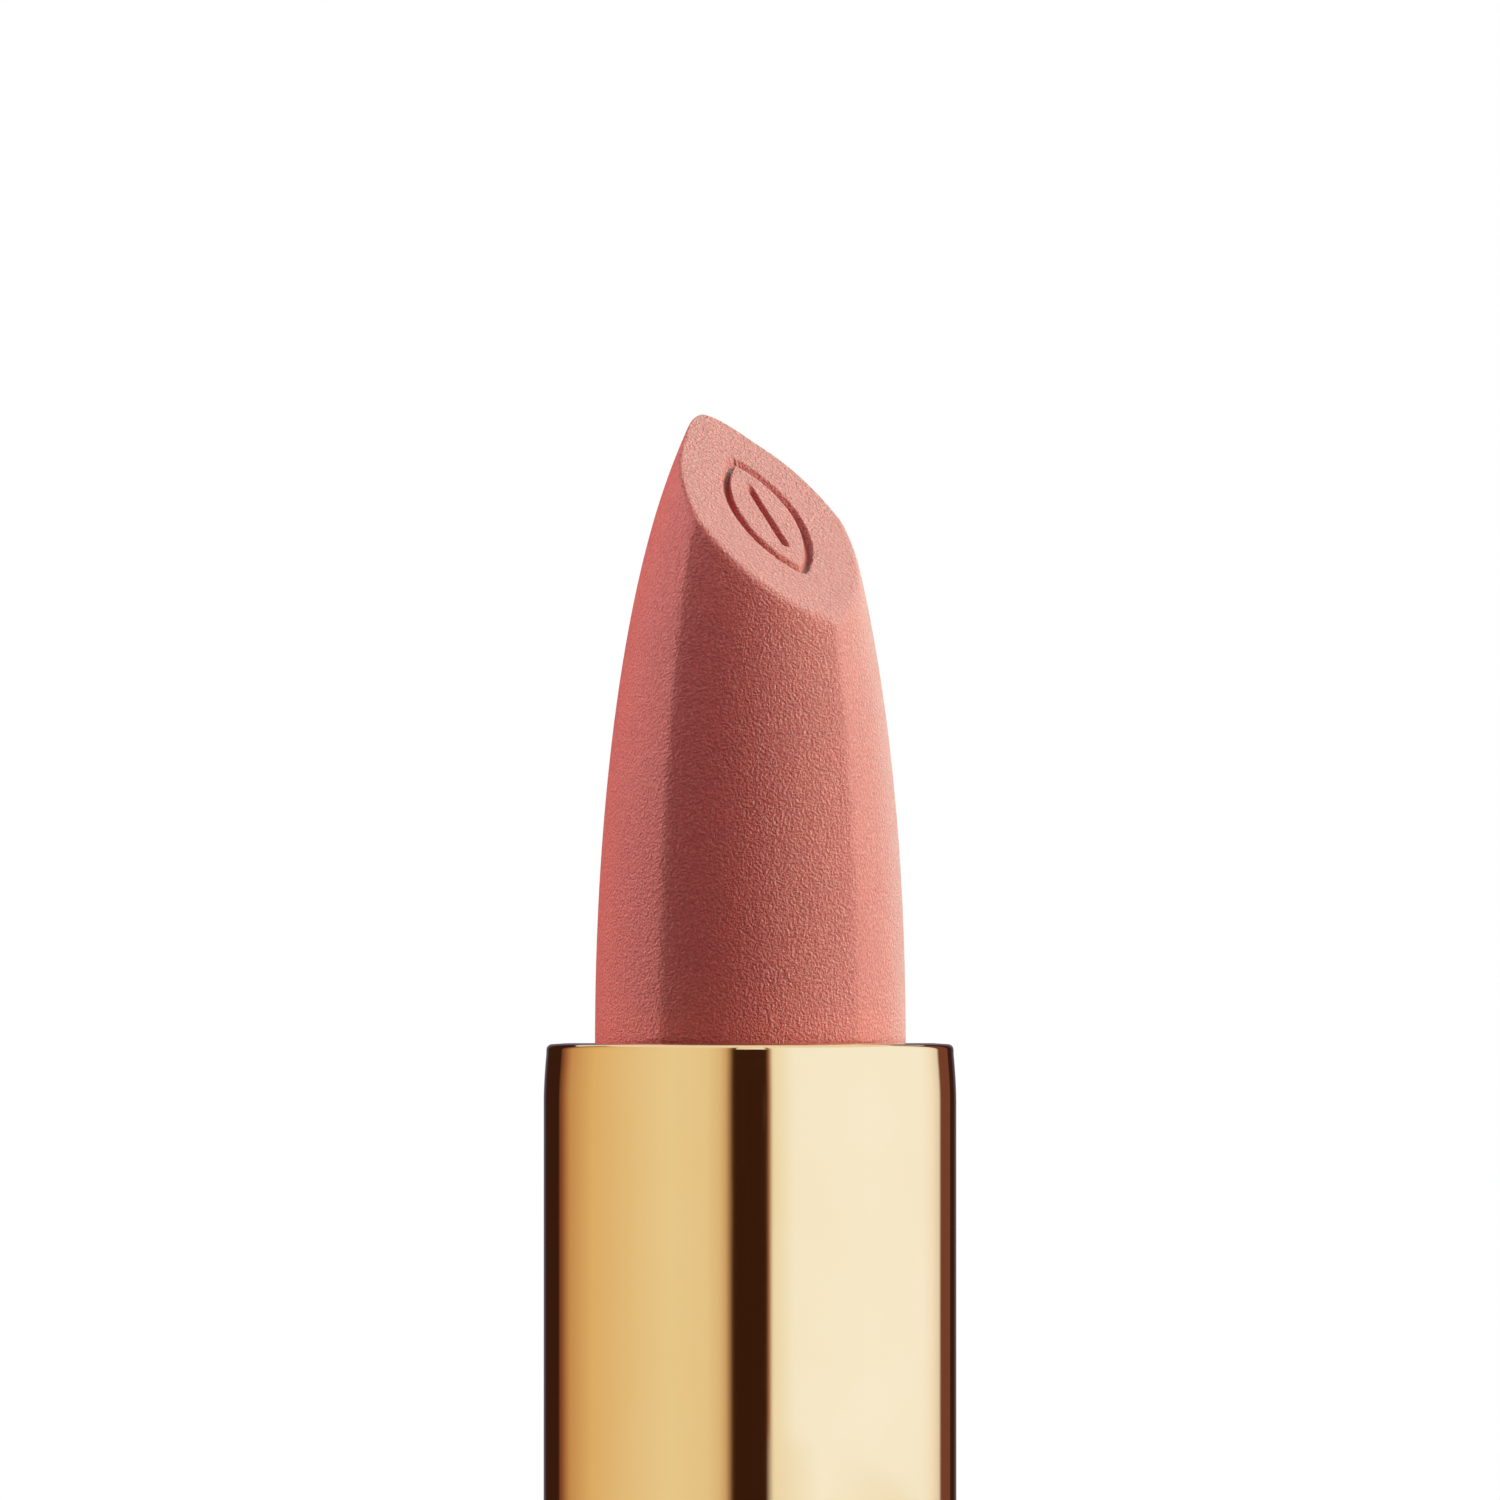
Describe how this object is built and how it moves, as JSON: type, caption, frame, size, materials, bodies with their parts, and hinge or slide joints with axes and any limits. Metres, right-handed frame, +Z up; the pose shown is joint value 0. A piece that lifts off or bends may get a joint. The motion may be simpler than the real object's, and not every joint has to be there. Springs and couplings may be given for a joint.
{
  "type": "lipstick case",
  "caption": "Twist-up lipstick case: polished gold base and sleeve, raised slant-cut bullet in a cup driven by a helical spiral, with a lined slip-on cap standing beside it.",
  "frame": {"origin": "centre of the base's underside, on the twist axis", "axes": "+Z up along the twist axis; the front faces -Y; +X to the right"},
  "size_m": [0.0636, 0.0606, 0.0767],
  "materials": {
    "polished_gold": "polished gold anodised",
    "lip_wax": "matte pressed wax with fine grain",
    "cup_plastic": "moulded gold-tinted",
    "guide_plastic": "moulded ivory",
    "spiral_plastic": "moulded ivory, matt",
    "liner_plastic": "moulded black",
    "washer_rubber": "matt elastomer",
    "steel": "turned",
    "label_paper": "blank label"
  },
  "bodies": {
    "base": {"base_shell": "polished_gold", "shade_label": "label_paper", "base_weight": "steel", "base_liner": "liner_plastic", "base_collar": "polished_gold", "guide_tube": "guide_plastic", "friction_washer": "washer_rubber", "retaining_ring": "steel"},
    "sleeve": {"sleeve_shell": "polished_gold", "cam_spiral": "spiral_plastic"},
    "carrier": {"carrier_cup": "cup_plastic", "bullet": "lip_wax"},
    "cap": {"cap_shell": "polished_gold", "cap_top_plate": "polished_gold", "cap_liner": "liner_plastic", "cap_weight": "steel", "cap_collar": "polished_gold"}
  },
  "joints": [
    {"name": "sleeve_twist", "type": "hinge", "parent": "base", "child": "sleeve", "pos_m": [0, 0, 0.03], "axis": [0, 0, 1], "range_deg": [0, 450]},
    {"name": "bullet_slide", "type": "slide", "parent": "base", "child": "carrier", "axis": [0, 0, 1], "range_m": [-0.026, 0]},
    {"name": "cap_lift", "type": "slide", "parent": "base", "child": "cap", "axis": [0, 0, 1], "range_m": [0, 0.06]}
  ],
  "couplings": [
    {"joint": "bullet_slide", "follows": "sleeve_twist", "m_per_rad": -0.0033104}
  ]
}
